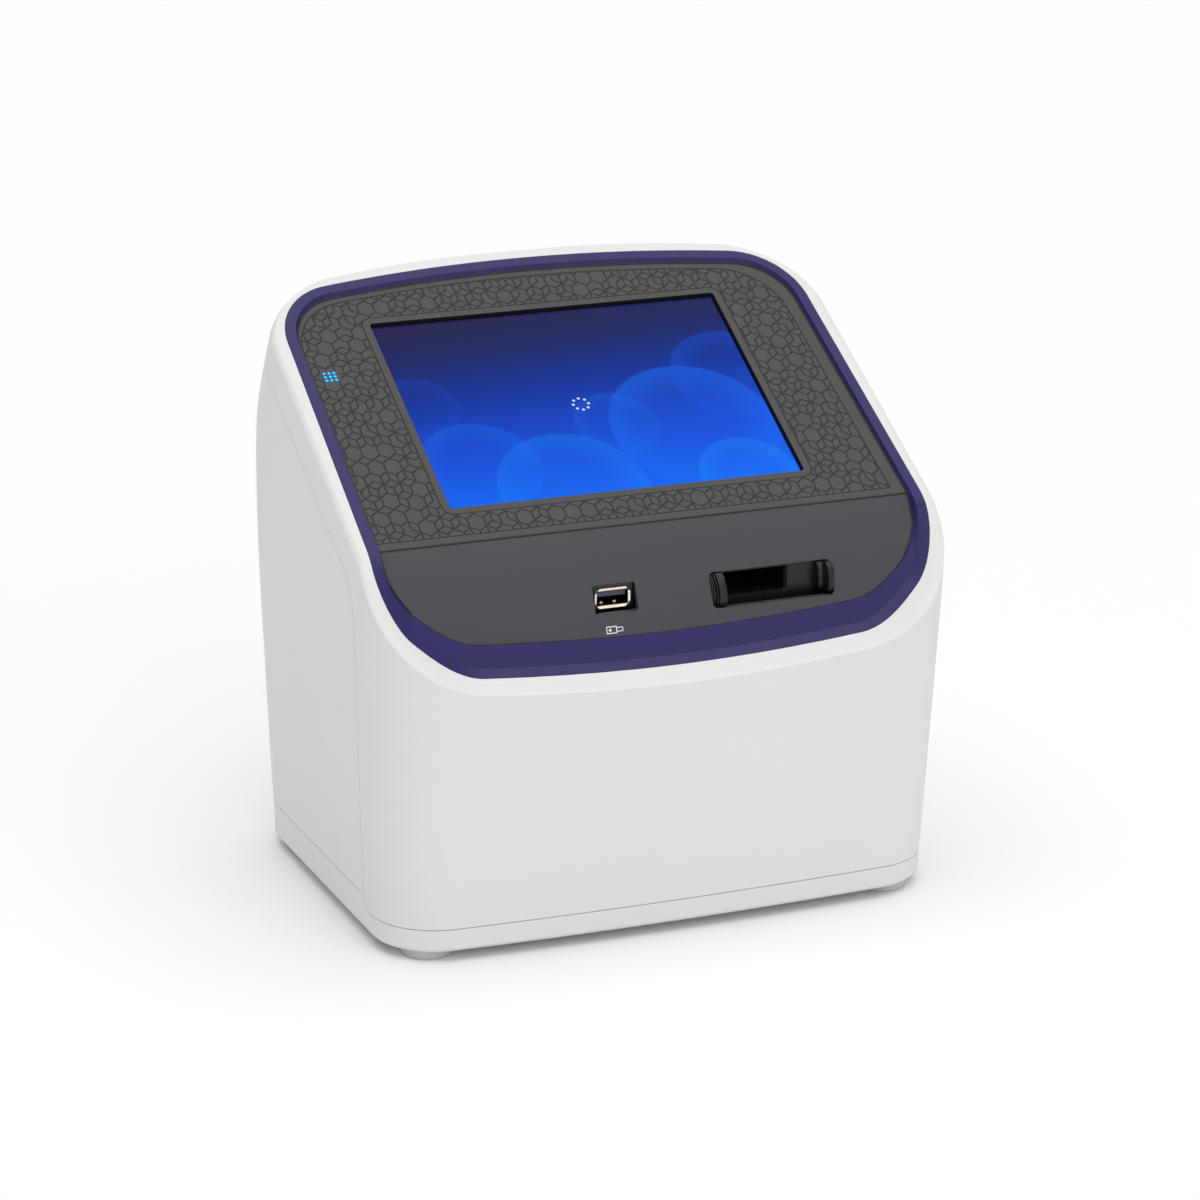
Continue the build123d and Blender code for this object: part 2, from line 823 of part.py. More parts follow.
with BuildPart() as display_board:
    with BuildSketch(screen_plane.offset(bracket_bottom)):
        Rectangle(display_board_width, display_board_height)
    extrude(amount=-board_thickness)
    with BuildSketch(screen_plane.offset(bracket_bottom - board_thickness)):
        with Locations((-display_board_width / 4, 0)):
            Rectangle(chip_size, chip_size)
        with Locations((display_board_width / 4, 0)):
            Rectangle(chip_size / 2, chip_size)
    extrude(amount=-chip_height)
display_board.part.label = "display_board"
export_step(display_board.part, "parts/display_board.step")

with BuildPart() as status_light:
    with BuildSketch(screen_plane.offset(lcd_top)):
        with Locations(*status_points):
            Circle(status_radius)
    extrude(amount=-lcd_top + status_proud)
    with BuildSketch(screen_plane.offset(lcd_top)):
        with Locations((status_x, status_s)):
            Rectangle(status_plate, status_plate)
    extrude(amount=-status_plate_thickness)
status_light.part.label = "status_light"
export_step(status_light.part, "parts/status_light.step")

with BuildPart() as status_board:
    with BuildSketch(screen_plane.offset(lcd_top - status_plate_thickness)):
        with Locations((status_x, status_s)):
            Rectangle(status_plate, 2 * status_plate)
    extrude(amount=-board_thickness)
status_board.part.label = "status_board"
export_step(status_board.part, "parts/status_board.step")


def panel_outline():
    """Side view of the lower panel: an arc from the crease, run on straight past its front edge."""
    def along(angle, depth):
        radius = panel_radius - depth
        return (
            panel_centre_y - radius * sin(radians(angle)),
            panel_centre_z + radius * cos(radians(angle)),
        )

    middle_angle = (panel_start_angle + panel_end_angle) / 2
    run_on = (-cos(radians(panel_end_angle)) * panel_run_on, -sin(radians(panel_end_angle)) * panel_run_on)
    outer_end = along(panel_end_angle, 0)
    inner_end = along(panel_end_angle, panel_thickness)
    ThreePointArc(along(panel_start_angle, 0), along(middle_angle, 0), outer_end)
    Polyline(
        outer_end,
        (outer_end[0] + run_on[0], outer_end[1] + run_on[1]),
        (inner_end[0] + run_on[0], inner_end[1] + run_on[1]),
        inner_end,
    )
    ThreePointArc(inner_end, along(middle_angle, panel_thickness), along(panel_start_angle, panel_thickness))
    Line(along(panel_start_angle, panel_thickness), along(panel_start_angle, 0))


with BuildPart() as port_panel:
    add(side_prism(panel_outline, body_reach))
    with BuildSketch():
        add(dark_plan)
    extrude(amount=skin_top, dir=(0, 0, 1), mode=Mode.INTERSECT)
    add(side_prism(frame_outline, body_reach, crease_gap), mode=Mode.SUBTRACT)
    front_window(usb_recess_x, usb_recess_z, usb_recess_corner)
    front_window(slide_recess_x, slide_recess_z, slide_recess_corner)
port_panel.part.label = "port_panel"
export_step(port_panel.part, "parts/port_panel.step")

# ---------------------------------------------------------------------------
# Front USB socket
# ---------------------------------------------------------------------------

with BuildPart() as usb_insert:
    box_between(
        (usb_recess_x[0] + fit_gap, usb_recess_x[1] - fit_gap),
        (usb_insert_front, usb_insert_front + insert_depth),
        (usb_recess_z[0] + fit_gap, usb_recess_z[1] - fit_gap),
    )
    box_between(
        (usb_x - usb_half_width - seat_gap, usb_x + usb_half_width + seat_gap),
        (usb_insert_front, usb_insert_front + insert_depth),
        (usb_z - usb_half_height - seat_gap, usb_z + usb_half_height + seat_gap),
        Mode.SUBTRACT,
    )
usb_insert.part.label = "usb_insert"
export_step(usb_insert.part, "parts/usb_insert.step")


def usb_shell(x, y, z, direction):
    """Metal shell of a socket with its lips, open towards -Y for direction 1 and +Y for direction -1."""
    lip = (y - direction * usb_lip, y)
    body = (y, y + direction * usb_length)
    box_between(
        (x - usb_lip_half_width, x + usb_lip_half_width),
        (min(lip), max(lip)),
        (z - usb_lip_half_height, z + usb_lip_half_height),
    )
    box_between(
        (x - usb_half_width, x + usb_half_width), (min(body), max(body)), (z - usb_half_height, z + usb_half_height)
    )
    cavity = (y - direction * usb_lip, y + direction * (usb_length - usb_metal))
    box_between(
        (x - usb_half_width + usb_metal, x + usb_half_width - usb_metal),
        (min(cavity), max(cavity)),
        (z - usb_half_height + usb_metal, z + usb_half_height - usb_metal),
        Mode.SUBTRACT,
    )


def usb_tongue(x, y, z, direction):
    """Plastic tongue of a socket, in the upper part, standing on the back of its shell."""
    run = (y + direction * usb_tongue_start, y + direction * (usb_length - usb_metal))
    box_between(
        (x - usb_tongue_half_width, x + usb_tongue_half_width),
        (min(run), max(run)),
        (z + usb_tongue_offset, z + usb_tongue_offset + usb_tongue_thickness),
    )


with BuildPart() as front_usb_shell:
    usb_shell(usb_x, usb_insert_front, usb_z, 1)
front_usb_shell.part.label = "front_usb_shell"
export_step(front_usb_shell.part, "parts/front_usb_shell.step")

with BuildPart() as front_usb_tongue:
    usb_tongue(usb_x, usb_insert_front, usb_z, 1)
front_usb_tongue.part.label = "front_usb_tongue"
export_step(front_usb_tongue.part, "parts/front_usb_tongue.step")

with BuildPart() as front_usb_board:
    box_between(
        (usb_x - usb_board_half, usb_x + usb_board_half),
        (usb_insert_front + insert_depth + seat_gap, usb_insert_front + usb_length + usb_lip),
        (usb_z - usb_half_height - board_thickness, usb_z - usb_half_height),
    )
front_usb_board.part.label = "front_usb_board"
export_step(front_usb_board.part, "parts/front_usb_board.step")

# ---------------------------------------------------------------------------
# Slide port and the guide behind it
# ---------------------------------------------------------------------------

slot_x = (optic_x - slot_width / 2, optic_x + slot_width / 2)


def grip_tab(xs):
    """Finger tab beside the slot, bulging forward over the width given."""
    with BuildSketch(Plane.YZ.offset(xs[0])) as side:
        with BuildLine():
            Spline(*tab_profile)
            Polyline(
                tab_profile[-1],
                (slide_insert_front, tab_profile[-1][1]),
                (slide_insert_front, tab_profile[0][1]),
                tab_profile[0],
            )
        make_face()
    extrude(side.sketch, amount=xs[1] - xs[0])


with BuildPart() as slide_insert:
    box_between(
        (slide_recess_x[0] + fit_gap, slide_recess_x[1] - fit_gap),
        (slide_insert_front, slide_insert_front + insert_depth),
        (slide_recess_z[0] + fit_gap, slide_recess_z[1] - fit_gap),
    )
    grip_tab((slide_recess_x[0] + fit_gap, slot_x[0] - tab_gap))
    grip_tab((slot_x[1] + ear_start, slide_recess_x[1] - fit_gap))
    box_between(slot_x, (slide_insert_front, slide_insert_front + insert_depth), slot_z, Mode.SUBTRACT)
slide_insert.part.label = "slide_insert"
export_step(slide_insert.part, "parts/slide_insert.step")

guide_front = slide_insert_front + insert_depth + seat_gap
guide_x = (slot_x[0] - guide_wall, slot_x[1] + guide_wall)
guide_z = (slot_z[0] - guide_wall, slot_z[1] + guide_wall)

with BuildPart() as slide_guide:
    box_between(guide_x, (guide_front, guide_back), guide_z)
    box_between(slot_x, (guide_front, guide_back - guide_wall), slot_z, Mode.SUBTRACT)
    post_at([(optic_x, optic_y)], (guide_z[0], guide_z[1]), beam_radius, Mode.SUBTRACT)
slide_guide.part.label = "slide_guide"
export_step(slide_guide.part, "parts/slide_guide.step")

with BuildPart() as slide_spring:
    box_between(
        (slot_x[0], slot_x[0] + spring_leaf),
        (guide_front + spring_margin, guide_back - 2 * guide_wall),
        (slot_z[0] + guide_wall, slot_z[1] - guide_wall),
    )
slide_spring.part.label = "slide_spring"
export_step(slide_spring.part, "parts/slide_spring.step")

# ---------------------------------------------------------------------------
# Optics below and above the slide
# ---------------------------------------------------------------------------

base_top = base_bottom + optics_plate
deck_top = guide_z[0] - seat_gap
deck_bottom = deck_top - optics_plate
deck_post_points = around(optic_x, optic_y, deck_post_x, deck_post_y)
rod_points = [(optic_x + rod_offset_x, optic_y - rod_spread), (optic_x + rod_offset_x, optic_y + rod_spread)]
screw_point = [(optic_x + screw_offset_x, optic_y)]

with BuildPart() as optics_base:
    box_between(
        (optic_x - plate_half_x, optic_x + plate_half_x),
        (optic_y - plate_half_y, optic_y + plate_half_y),
        (base_bottom, base_top),
    )
    post_at(around(optic_x, optic_y, base_post_x, base_post_y), (base_bottom, base_top),
            board_screw_radius + screw_gap, Mode.SUBTRACT)
    post_at(around(optic_x, optic_y, camera_post, camera_post), (base_top, camera_bottom), camera_post_radius)
optics_base.part.label = "optics_base"
export_step(optics_base.part, "parts/optics_base.step")

with BuildPart() as optics_deck:
    box_between(
        (optic_x - plate_half_x, optic_x + plate_half_x),
        (optic_y - plate_half_y, optic_y + plate_half_y),
        (deck_bottom, deck_top),
    )
    post_at([(optic_x, optic_y)], (deck_bottom, deck_top), beam_radius, Mode.SUBTRACT)
    post_at(screw_point, (deck_bottom, deck_top), lead_screw_radius + running_gap, Mode.SUBTRACT)
optics_deck.part.label = "optics_deck"
export_step(optics_deck.part, "parts/optics_deck.step")

with BuildPart() as deck_posts:
    post_at(deck_post_points, (base_top, deck_bottom), deck_post_radius)
deck_posts.part.label = "deck_posts"
export_step(deck_posts.part, "parts/deck_posts.step")

with BuildPart() as guide_rods:
    post_at(rod_points, (base_top, deck_bottom), rod_radius)
guide_rods.part.label = "guide_rods"
export_step(guide_rods.part, "parts/guide_rods.step")

motor_top = base_top + motor_height

with BuildPart() as focus_motor:
    box_between(
        (screw_point[0][0] - motor_half, screw_point[0][0] + motor_half),
        (optic_y - motor_half, optic_y + motor_half),
        (base_top, motor_top),
    )
    fillet(focus_motor.edges().filter_by(Axis.Z), motor_corner)
    post_at(screw_point, (motor_top - motor_bearing, motor_top), lead_screw_radius + running_gap, Mode.SUBTRACT)
focus_motor.part.label = "focus_motor"
export_step(focus_motor.part, "parts/focus_motor.step")

with BuildPart() as lead_screw:
    post_at(screw_point, (motor_top - motor_bearing + seat_gap, deck_top - seat_gap), lead_screw_radius)
lead_screw.part.label = "lead_screw"
export_step(lead_screw.part, "parts/lead_screw.step")

carriage_z = (carriage_bottom, carriage_bottom + carriage_height)

with BuildPart() as focus_carriage:
    box_between(
        (optic_x - carriage_reach, screw_point[0][0] + carriage_back),
        (optic_y - carriage_half, optic_y + carriage_half),
        carriage_z,
    )
    post_at([(optic_x, optic_y)], carriage_z, objective_radius + seat_gap, Mode.SUBTRACT)
    post_at(rod_points, carriage_z, rod_radius + running_gap, Mode.SUBTRACT)
    post_at(screw_point, carriage_z, lead_screw_radius + running_gap, Mode.SUBTRACT)
focus_carriage.part.label = "focus_carriage"
export_step(focus_carriage.part, "parts/focus_carriage.step")

with BuildPart() as objective:
    post_at([(optic_x, optic_y)], (carriage_z[0] - objective_below, carriage_z[1]), objective_radius)
    post_at([(optic_x, optic_y)], (carriage_z[1], carriage_z[1] + objective_collar), objective_collar_radius)
    post_at(
        [(optic_x, optic_y)],
        (carriage_z[1] + objective_collar, carriage_z[1] + objective_collar + objective_nose),
        objective_nose_radius,
    )
objective.part.label = "objective"
export_step(objective.part, "parts/objective.step")

with BuildPart() as camera_board:
    box_between(
        (optic_x - camera_half, optic_x + camera_half),
        (optic_y - camera_half, optic_y + camera_half),
        (camera_bottom, camera_bottom + board_thickness),
    )
camera_board.part.label = "camera_board"
export_step(camera_board.part, "parts/camera_board.step")

with BuildPart() as camera_sensor:
    box_between(
        (optic_x - sensor_half, optic_x + sensor_half),
        (optic_y - sensor_half, optic_y + sensor_half),
        (camera_bottom + board_thickness, camera_bottom + board_thickness + sensor_height),
    )
camera_sensor.part.label = "camera_sensor"
export_step(camera_sensor.part, "parts/camera_sensor.step")

lamp_bottom = guide_z[1] + seat_gap
lamp_top = lamp_bottom + lamp_height

with BuildPart() as lamp_holder:
    post_at([(optic_x, optic_y)], (lamp_bottom, lamp_top), lamp_radius)
    post_at([(optic_x, optic_y)], (lamp_bottom, lamp_top), condenser_radius + seat_gap, Mode.SUBTRACT)
lamp_holder.part.label = "lamp_holder"
export_step(lamp_holder.part, "parts/lamp_holder.step")

with BuildPart() as condenser_lens:
    post_at([(optic_x, optic_y)], (lamp_bottom, lamp_bottom + condenser_height), condenser_radius)
condenser_lens.part.label = "condenser_lens"
export_step(condenser_lens.part, "parts/condenser_lens.step")

with BuildPart() as lamp_board:
    box_between(
        (optic_x - lamp_radius, optic_x + lamp_radius),
        (optic_y - lamp_radius, optic_y + lamp_radius),
        (lamp_top, lamp_top + board_thickness),
    )
lamp_board.part.label = "lamp_board"
export_step(lamp_board.part, "parts/lamp_board.step")

# ---------------------------------------------------------------------------
# Main board and the sockets at the back
# ---------------------------------------------------------------------------

board_top = board_bottom + board_thickness
board_points = around(board_x, board_y, board_post_x, board_post_y)

with BuildPart() as mainboard:
    box_between(
        (board_x - board_half_x, board_x + board_half_x),
        (board_y - board_half_y, board_y + board_half_y),
        (board_bottom, board_top),
    )
    box_between(
        (board_x - chip_size, board_x + chip_size),
        (board_y + 2 * chip_size, board_y + 3 * chip_size),
        (board_top, board_top + chip_height),
    )
    post_at(board_points, (board_bottom, board_top), board_screw_radius + screw_gap, Mode.SUBTRACT)
mainboard.part.label = "mainboard"
export_step(mainboard.part, "parts/mainboard.step")

with BuildPart() as heatsink:
    sink_y = (board_y - sink_half, board_y + sink_half)
    box_between((board_x - sink_half, board_x + sink_half), sink_y, (board_top, board_top + sink_base))
    for number in range(sink_fins):
        fin_x = board_x - sink_half + number * (2 * sink_half - sink_fin) / (sink_fins - 1)
        box_between((fin_x, fin_x + sink_fin), sink_y, (board_top + sink_base, board_top + sink_height))
heatsink.part.label = "heatsink"
export_step(heatsink.part, "parts/heatsink.step")

with BuildPart() as board_screws:
    post_at(board_points, (board_bottom - board_screw_depth + seat_gap, board_top), board_screw_radius)
    post_at(board_points, (board_top, board_top + board_screw_head), board_screw_head_radius)
board_screws.part.label = "board_screws"
export_step(board_screws.part, "parts/board_screws.step")

with BuildPart() as base_screws:
    points = around(optic_x, optic_y, base_post_x, base_post_y)
    post_at(points, (base_bottom - board_screw_depth + seat_gap, base_top), board_screw_radius)
    post_at(points, (base_top, base_top + board_screw_head), board_screw_head_radius)
base_screws.part.label = "base_screws"
export_step(base_screws.part, "parts/base_screws.step")

plate_back = io_plate_back - seat_gap
plate_front = plate_back - io_plate_thickness

with BuildPart() as io_plate:
    box_between(
        (-io_half_width - io_collar, io_half_width + io_collar),
        (plate_front, plate_back),
        (io_bottom - io_collar, io_top + io_collar),
    )
    for x in rear_usb_x:
        box_between(
            (x - usb_half_width - seat_gap, x + usb_half_width + seat_gap),
            (plate_front, plate_back),
            (rear_usb_z - usb_half_height - seat_gap, rear_usb_z + usb_half_height + seat_gap),
            Mode.SUBTRACT,
        )
    box_between(
        (jack_x - jack_half - seat_gap, jack_x + jack_half + seat_gap),
        (plate_front, plate_back),
        (jack_z - jack_half - seat_gap, jack_z + jack_half + seat_gap),
        Mode.SUBTRACT,
    )
    box_between(
        (switch_x - switch_half_x - seat_gap, switch_x + switch_half_x + seat_gap),
        (plate_front, plate_back),
        (switch_z - switch_half_z - seat_gap, switch_z + switch_half_z + seat_gap),
        Mode.SUBTRACT,
    )
io_plate.part.label = "io_plate"
export_step(io_plate.part, "parts/io_plate.step")

with BuildPart() as rear_usb_shells:
    for x in rear_usb_x:
        usb_shell(x, plate_back, rear_usb_z, -1)
rear_usb_shells.part.label = "rear_usb_shells"
export_step(rear_usb_shells.part, "parts/rear_usb_shells.step")

with BuildPart() as rear_usb_tongues:
    for x in rear_usb_x:
        usb_tongue(x, plate_back, rear_usb_z, -1)
rear_usb_tongues.part.label = "rear_usb_tongues"
export_step(rear_usb_tongues.part, "parts/rear_usb_tongues.step")

with BuildPart() as power_jack:
    box_between(
        (jack_x - jack_half, jack_x + jack_half),
        (plate_back - jack_length, plate_back),
        (jack_z - jack_half, jack_z + jack_half),
    )
    with Locations(Location((jack_x, plate_back - jack_bore_depth / 2, jack_z), (90, 0, 0))):
        Cylinder(jack_bore_radius, jack_bore_depth, mode=Mode.SUBTRACT)
power_jack.part.label = "power_jack"
export_step(power_jack.part, "parts/power_jack.step")

with BuildPart() as power_jack_pin:
    with Locations(Location((jack_x, plate_back - jack_bore_depth / 2 - usb_lip, jack_z), (90, 0, 0))):
        Cylinder(jack_pin_radius, jack_bore_depth - 2 * usb_lip)
power_jack_pin.part.label = "power_jack_pin"
export_step(power_jack_pin.part, "parts/power_jack_pin.step")

with BuildPart() as switch_body:
    box_between(
        (switch_x - switch_half_x - switch_flange, switch_x + switch_half_x + switch_flange),
        (plate_back, plate_back + switch_flange),
        (switch_z - switch_half_z - switch_flange, switch_z + switch_half_z + switch_flange),
    )
    box_between(
        (switch_x - switch_half_x, switch_x + switch_half_x),
        (plate_back - switch_depth, plate_back),
        (switch_z - switch_half_z, switch_z + switch_half_z),
    )
    box_between(
        (switch_x - rocker_half_x - rocker_gap, switch_x + rocker_half_x + rocker_gap),
        (plate_back - switch_depth + switch_flange, plate_back + switch_flange),
        (switch_z - switch_pocket_half_z, switch_z + switch_pocket_half_z),
        Mode.SUBTRACT,
    )
    with Locations(Location((switch_x, rocker_axis_y, switch_z), (0, 90, 0))):
        Cylinder(rocker_pin_radius, 2 * (rocker_half_x + rocker_gap + switch_flange / 2))
switch_body.part.label = "switch_body"
export_step(switch_body.part, "parts/switch_body.step")


def rocker_outline():
    """Side view of the rocker: two faces that meet in a shallow V over the pin."""
    Polyline(
        (rocker_axis_y - rocker_below, switch_z - rocker_foot),
        (rocker_axis_y + rocker_low, switch_z - rocker_half_z),
        (rocker_axis_y + rocker_middle, switch_z),
        (rocker_axis_y + rocker_high, switch_z + rocker_half_z),
        (rocker_axis_y - rocker_below, switch_z + rocker_foot),
        close=True,
    )


with BuildPart() as power_rocker:
    with BuildSketch(Plane.YZ.offset(switch_x)):
        with BuildLine():
            rocker_outline()
        make_face()
    extrude(amount=rocker_half_x, both=True)
    with Locations(Location((switch_x, rocker_axis_y, switch_z), (0, 90, 0))):
        Cylinder(rocker_pin_radius + running_gap, 2 * rocker_half_x, mode=Mode.SUBTRACT)
power_rocker.part.label = "power_rocker"
export_step(power_rocker.part, "parts/power_rocker.step")
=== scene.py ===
import json
import math

import bmesh
import bpy
from mathutils import Matrix, Vector


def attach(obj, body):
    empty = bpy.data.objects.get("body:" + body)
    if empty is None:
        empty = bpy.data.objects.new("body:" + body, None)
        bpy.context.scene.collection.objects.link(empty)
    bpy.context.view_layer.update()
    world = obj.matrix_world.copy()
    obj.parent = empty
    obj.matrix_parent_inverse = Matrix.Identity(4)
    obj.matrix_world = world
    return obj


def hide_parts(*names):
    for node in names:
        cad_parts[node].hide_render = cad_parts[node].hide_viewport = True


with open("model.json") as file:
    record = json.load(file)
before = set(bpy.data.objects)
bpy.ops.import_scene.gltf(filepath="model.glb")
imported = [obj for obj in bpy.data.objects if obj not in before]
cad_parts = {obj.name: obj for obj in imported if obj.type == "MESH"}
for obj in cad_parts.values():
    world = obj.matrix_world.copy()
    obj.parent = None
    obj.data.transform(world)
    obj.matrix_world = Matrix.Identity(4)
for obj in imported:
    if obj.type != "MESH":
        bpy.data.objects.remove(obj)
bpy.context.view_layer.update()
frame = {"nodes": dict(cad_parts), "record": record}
nodes = frame["nodes"]


# ---------------------------------------------------------------- materials

def srgb(r, g, b):
    """Display colour 0-255 to linear."""
    shares = [c / 255 for c in (r, g, b)]
    return tuple((c / 12.92 if c < 0.04045 else ((c + 0.055) / 1.055) ** 2.4) for c in shares)


def base_material(name, colour, rough, metal=0.0, spec=0.5, coat=0.0, coat_rough=0.1):
    m = bpy.data.materials.new(name)
    m.use_nodes = True
    b = m.node_tree.nodes["Principled BSDF"]
    b.inputs["Base Color"].default_value = (*colour, 1)
    b.inputs["Roughness"].default_value = rough
    b.inputs["Metallic"].default_value = metal
    b.inputs["Specular IOR Level"].default_value = spec
    b.inputs["Coat Weight"].default_value = coat
    b.inputs["Coat Roughness"].default_value = coat_rough
    return m, m.node_tree, b


def coords(tree):
    return tree.nodes.new("ShaderNodeTexCoord").outputs["Object"]


def noise(tree, vector, scale, detail=3.0, rough=0.5):
    n = tree.nodes.new("ShaderNodeTexNoise")
    n.inputs["Scale"].default_value = scale
    n.inputs["Detail"].default_value = detail
    n.inputs["Roughness"].default_value = rough
    tree.links.new(vector, n.inputs["Vector"])
    return n.outputs["Fac"]


def ramp(tree, fac, stops):
    r = tree.nodes.new("ShaderNodeValToRGB")
    e = r.color_ramp.elements
    while len(e) < len(stops):
        e.new(0.5)
    for el, (pos, col) in zip(e, stops):
        el.position = pos
        el.color = (*col, 1) if len(col) == 3 else col
    tree.links.new(fac, r.inputs["Fac"])
    return r.outputs["Color"]


def bump(tree, bsdf, height, strength, distance):
    b = tree.nodes.new("ShaderNodeBump")
    b.inputs["Strength"].default_value = strength
    b.inputs["Distance"].default_value = distance
    tree.links.new(height, b.inputs["Height"])
    tree.links.new(b.outputs["Normal"], bsdf.inputs["Normal"])


def math_node(tree, operation, *values):
    """Maths node whose inputs are numbers or sockets."""
    n = tree.nodes.new("ShaderNodeMath")
    n.operation = operation
    for socket, value in zip(n.inputs, values):
        if isinstance(value, (int, float)):
            socket.default_value = value
        else:
            tree.links.new(value, socket)
    return n.outputs[0]


class Calc:
    """A shader value that can be written as arithmetic."""

    def __init__(self, tree, value):
        self.tree, self.value = tree, value

    def do(self, operation, *others):
        values = [getattr(o, "value", o) for o in others]
        return Calc(self.tree, math_node(self.tree, operation, self.value, *values))

    def __add__(self, o):
        return self.do("ADD", o)

    def __sub__(self, o):
        return self.do("SUBTRACT", o)

    def __rsub__(self, o):
        return Calc(self.tree, math_node(self.tree, "SUBTRACT", o, self.value))

    def __mul__(self, o):
        return self.do("MULTIPLY", o)

    __radd__, __rmul__ = __add__, __mul__

    def __truediv__(self, o):
        return self.do("DIVIDE", o)

    def low(self, o):
        return self.do("MINIMUM", o)

    def high(self, o):
        return self.do("MAXIMUM", o)

    def above(self, o):
        return self.do("GREATER_THAN", o)

    def below(self, o):
        return self.do("LESS_THAN", o)

    def size(self):
        return self.do("ABSOLUTE")

    def pick(self, yes, no):
        """yes where this is 1, no where it is 0."""
        return self * yes + (1.0 - self) * no


def length(a, b):
    return (a * a + b * b).do("SQRT")


def fade(value, start, end):
    """0 below start, 1 above end, smooth between."""
    n = value.tree.nodes.new("ShaderNodeMapRange")
    n.interpolation_type = "SMOOTHSTEP"
    n.inputs["From Min"].default_value = start
    n.inputs["From Max"].default_value = end
    value.tree.links.new(value.value, n.inputs["Value"])
    return Calc(value.tree, n.outputs["Result"])


def random_at(tree, a, b):
    """A random value that depends on two numbers."""
    join = tree.nodes.new("ShaderNodeCombineXYZ")
    tree.links.new(a.value, join.inputs[0])
    tree.links.new(b.value, join.inputs[1])
    n = tree.nodes.new("ShaderNodeTexWhiteNoise")
    n.noise_dimensions = "3D"
    tree.links.new(join.outputs[0], n.inputs["Vector"])
    return Calc(tree, n.outputs["Value"])


def tint(colour, k):
    return tuple(min(1.0, c * k) for c in colour)


def mix(tree, fac, a, b, blend="MIX"):
    n = tree.nodes.new("ShaderNodeMix")
    n.data_type = "RGBA"
    n.blend_type = blend
    for socket, value in ((n.inputs[0], fac), (n.inputs[6], a), (n.inputs[7], b)):
        if isinstance(value, (int, float)):
            socket.default_value = value
        elif isinstance(value, tuple):
            socket.default_value = (*value, 1)
        else:
            tree.links.new(getattr(value, "value", value), socket)
    return n.outputs[2]


def painted_crease_shade(tree, shade, reach):
    """The colour, darkened to nearly black where a wall stands close by: painted shade in the creases."""
    occlusion = tree.nodes.new("ShaderNodeAmbientOcclusion")
    occlusion.samples = 6
    occlusion.inputs["Distance"].default_value = reach
    open_to_light = ramp(tree, occlusion.outputs["AO"], [(0.5, (0.12, 0.12, 0.12)), (0.85, (1.0, 1.0, 1.0))])
    return mix(tree, 1.0, shade, open_to_light, "MULTIPLY")


def plastic(name, colour, rough, grain=2200.0, grain_depth=0.00001, spec=0.5, coat=0.0, mottle=0.04, crease=0.0):
    """Moulded plastic: a slight drift in colour, a fine spark-eroded grain, uneven gloss, and painted shade near walls
    when crease is given.
    """
    m, t, b = base_material(name, colour, rough, spec=spec, coat=coat, coat_rough=0.2)
    c = coords(t)
    drift = noise(t, c, 14.0, 4.0)
    shade = ramp(t, drift, [(0.3, tint(colour, 1 - mottle)), (0.7, tint(colour, 1 + mottle))])
    # Painted shade: the colour darkens to near black within crease metres of a wall
    if crease:
        shade = painted_crease_shade(t, shade, crease)
    t.links.new(shade, b.inputs["Base Color"])
    gloss = noise(t, c, 60.0, 5.0)
    mp = t.nodes.new("ShaderNodeMapRange")
    mp.inputs["To Min"].default_value = rough - 0.04
    mp.inputs["To Max"].default_value = rough + 0.05
    t.links.new(gloss, mp.inputs["Value"])
    t.links.new(mp.outputs["Result"], b.inputs["Roughness"])
    bump(t, b, noise(t, c, grain, 2.0), 0.35, grain_depth)
    return m


def metal(name, colour, rough, brushed=None):
    """Bare metal with a fine grain, drawn out where it is brushed."""
    m, t, b = base_material(name, colour, rough, metal=1.0)
    c = coords(t)
    mapping = t.nodes.new("ShaderNodeMapping")
    mapping.inputs["Scale"].default_value = brushed or (1, 1, 1)
    t.links.new(c, mapping.inputs["Vector"])
    grain = noise(t, mapping.outputs["Vector"], 900.0, 3.0)
    t.links.new(ramp(t, grain, [(0.25, tint(colour, 0.85)), (0.75, tint(colour, 1.08))]), b.inputs["Base Color"])
    bump(t, b, grain, 0.25, 0.00001)
    return m


WHITE = srgb(226, 226, 224)
M = {}
M["white_shell"] = plastic("white_shell", WHITE, 0.5, spec=0.22, mottle=0.008)
M["ring_purple"] = plastic("ring_purple", srgb(48, 44, 97), 0.36, spec=0.2, mottle=0.03)
# The lower panel carries painted shade, near black within 1.8 mm of a wall
M["panel_grey"] = plastic("panel_grey", srgb(68, 69, 74), 0.42, spec=0.3, mottle=0.03, crease=0.0018)
M["black_plastic"] = plastic("black_plastic", srgb(24, 24, 25), 0.28, spec=0.5, mottle=0.1)
M["jack_black"] = plastic("jack_black", srgb(26, 26, 27), 0.35, mottle=0.1)
# The feet, whose slot is rubber_black, are light grey
M["rubber_black"] = plastic(
    "foot_grey", srgb(196, 196, 194), 0.75, grain=900.0, grain_depth=0.00004, mottle=0.05
)
M["socket_tongue"] = plastic("socket_tongue", srgb(224, 216, 196), 0.4, mottle=0.03)
M["motor_black"] = plastic("motor_black", srgb(28, 28, 30), 0.45, mottle=0.08)
M["pcb_green"] = plastic("pcb_green", srgb(20, 84, 48), 0.35, coat=0.4, mottle=0.15)
M["socket_metal"] = metal("socket_metal", srgb(226, 220, 205), 0.22)
M["lcd_metal"] = metal("lcd_metal", srgb(190, 192, 194), 0.35, (1, 30, 1))
M["bracket_steel"] = metal("bracket_steel", srgb(176, 180, 184), 0.35, (30, 1, 1))
M["screw_steel"] = metal("screw_steel", srgb(150, 152, 156), 0.32)
M["spring_copper"] = metal("spring_copper", srgb(214, 138, 70), 0.28)
M["anodised"] = metal("anodised", srgb(96, 98, 104), 0.42)
M["polished_rod"] = metal("polished_rod", srgb(206, 208, 212), 0.14, (1, 1, 20))
lens, t, b = base_material("lens_glass", (0.9, 0.94, 0.96), 0.02)
b.inputs["Transmission Weight"].default_value = 1.0
b.inputs["IOR"].default_value = 1.5
bump(t, b, noise(t, coords(t), 40.0), 0.02, 0.00001)
M["lens_glass"] = lens
